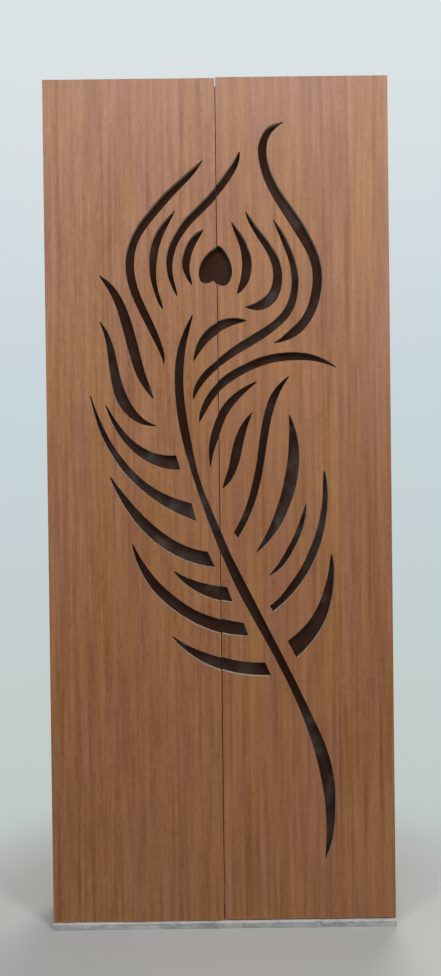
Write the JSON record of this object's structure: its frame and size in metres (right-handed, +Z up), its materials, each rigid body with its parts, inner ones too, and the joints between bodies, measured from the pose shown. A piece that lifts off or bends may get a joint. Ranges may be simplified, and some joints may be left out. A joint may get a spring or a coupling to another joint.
{
  "type": "carved wood panel doors",
  "caption": "Tall overlay door leaves in teak laminate, routed with a feather over a dark gloss sheet, on concealed cup hinges in a slim frame with push latches.",
  "frame": {"origin": "on the floor, under the middle of the whole assembly's box", "axes": "+X to the right as one faces the leaves, +Y back into the wall opening, +Z up"},
  "size_m": [0.857, 0.139, 2.117],
  "materials": {
    "teak_laminate": "satin teak laminate, straight vertical grain",
    "raw_board": "bare pale core board, cut walls left raw",
    "dark_gloss_sheet": "high gloss, near black",
    "back_laminate": "pale matt balancing laminate",
    "stile_wood": "plain planed softwood, matt lacquer",
    "frame_teak": "satin teak laminate on board",
    "sill_grey": "matt dark grey paint",
    "threshold_stone": "honed grey veined marble",
    "hinge_steel": "nickel-plated pressed steel",
    "pin_steel": "bright ground steel",
    "screw_steel": "zinc-plated steel",
    "strike_steel": "zinc-plated steel, satin",
    "spring_steel": "drawn spring wire",
    "latch_plastic": "moulded, fine matt",
    "plunger_plastic": "moulded, smooth matt",
    "bumper_rubber": "soft matt rubber"
  },
  "bodies": {
    "frame": {"frame_left_stile": "frame_teak", "frame_right_stile": "frame_teak", "frame_head_rail": "frame_teak", "frame_sill_rail": "sill_grey", "frame_corner_screws": "screw_steel", "left_hinge_arm_1": "hinge_steel", "left_hinge_arm_2": "hinge_steel", "left_hinge_arm_3": "hinge_steel", "left_hinge_arm_4": "hinge_steel", "left_hinge_plates": "hinge_steel", "left_hinge_screws": "screw_steel", "left_latch_housing": "latch_plastic", "right_hinge_arm_1": "hinge_steel", "right_hinge_arm_2": "hinge_steel", "right_hinge_arm_3": "hinge_steel", "right_hinge_arm_4": "hinge_steel", "right_hinge_plates": "hinge_steel", "right_hinge_screws": "screw_steel", "right_latch_housing": "latch_plastic", "latch_springs": "spring_steel", "latch_screws": "screw_steel", "frame_threshold": "threshold_stone"},
    "left_leaf": {"left_face_laminate": "teak_laminate", "left_face_board": "raw_board", "left_dark_sheet": "dark_gloss_sheet", "left_back_panel": "back_laminate", "left_hinge_stile": "stile_wood", "left_top_band": "teak_laminate", "left_bottom_band": "teak_laminate", "left_outer_band": "teak_laminate", "left_meeting_band": "teak_laminate", "left_hinge_cup_1": "hinge_steel", "left_hinge_cup_2": "hinge_steel", "left_hinge_cup_3": "hinge_steel", "left_hinge_cup_4": "hinge_steel", "left_hinge_pins": "pin_steel", "left_cup_screws": "screw_steel", "left_panel_screws": "screw_steel", "left_strike_plate": "strike_steel", "left_bumpers": "bumper_rubber"},
    "right_leaf": {"right_face_laminate": "teak_laminate", "right_face_board": "raw_board", "right_dark_sheet": "dark_gloss_sheet", "right_back_panel": "back_laminate", "right_hinge_stile": "stile_wood", "right_top_band": "teak_laminate", "right_bottom_band": "teak_laminate", "right_outer_band": "teak_laminate", "right_meeting_band": "teak_laminate", "right_hinge_cup_1": "hinge_steel", "right_hinge_cup_2": "hinge_steel", "right_hinge_cup_3": "hinge_steel", "right_hinge_cup_4": "hinge_steel", "right_hinge_pins": "pin_steel", "right_cup_screws": "screw_steel", "right_panel_screws": "screw_steel", "right_strike_plate": "strike_steel", "right_bumpers": "bumper_rubber"},
    "left_plunger": {"left_latch_plunger": "plunger_plastic"},
    "right_plunger": {"right_latch_plunger": "plunger_plastic"}
  },
  "joints": [
    {"name": "left_leaf_hinge", "type": "hinge", "parent": "frame", "child": "left_leaf", "pos_m": [-0.4195, -0.042, 1.065], "axis": [0, 0, -1], "range_deg": [0, 95]},
    {"name": "right_leaf_hinge", "type": "hinge", "parent": "frame", "child": "right_leaf", "pos_m": [0.4195, -0.042, 1.067], "axis": [0, 0, 1], "range_deg": [0, 95]},
    {"name": "left_plunger_slide", "type": "slide", "parent": "frame", "child": "left_plunger", "axis": [0, -1, 0], "range_m": [0, 0.0135]},
    {"name": "right_plunger_slide", "type": "slide", "parent": "frame", "child": "right_plunger", "axis": [0, -1, 0], "range_m": [0, 0.0135]}
  ],
  "couplings": [
    {"joint": "left_plunger_slide", "follows": "left_leaf_hinge", "m_per_rad": 0.008},
    {"joint": "right_plunger_slide", "follows": "right_leaf_hinge", "m_per_rad": 0.008}
  ]
}
